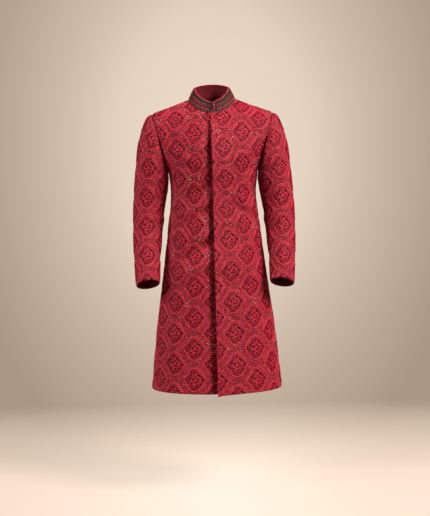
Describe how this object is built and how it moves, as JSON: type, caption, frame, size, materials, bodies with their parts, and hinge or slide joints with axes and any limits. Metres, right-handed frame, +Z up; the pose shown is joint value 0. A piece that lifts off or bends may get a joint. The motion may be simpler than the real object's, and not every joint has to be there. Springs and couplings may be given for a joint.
{
  "type": "sherwani coat",
  "caption": "Knee-length sherwani coat with a stand collar, a hidden front closing and long set-in sleeves, hollow and shaped as it is worn.",
  "frame": {"origin": "middle of the neck, level with the points where the collar meets the shoulder seams, which is where the wearer's shoulders hold the coat up", "axes": "+Z up along the body, -Y out of the coat's front, +X to the wearer's left"},
  "size_m": [0.62, 0.3625, 1.1732],
  "materials": {
    "crimson_brocade": "crimson cloth embroidered all over with ogee medallions, soft sheen",
    "collar_cloth": "crimson cloth, stiffened",
    "bronze_embroidery": "dark bronze and black cord embroidery"
  },
  "bodies": {
    "root": {"front_left": "crimson_brocade", "front_right": "crimson_brocade", "back_left": "crimson_brocade", "back_right": "crimson_brocade", "sleeve_upper_left": "crimson_brocade", "sleeve_upper_right": "crimson_brocade", "sleeve_under_left": "crimson_brocade", "sleeve_under_right": "crimson_brocade", "collar": "collar_cloth", "collar_embroidery": "bronze_embroidery"}
  },
  "joints": []
}
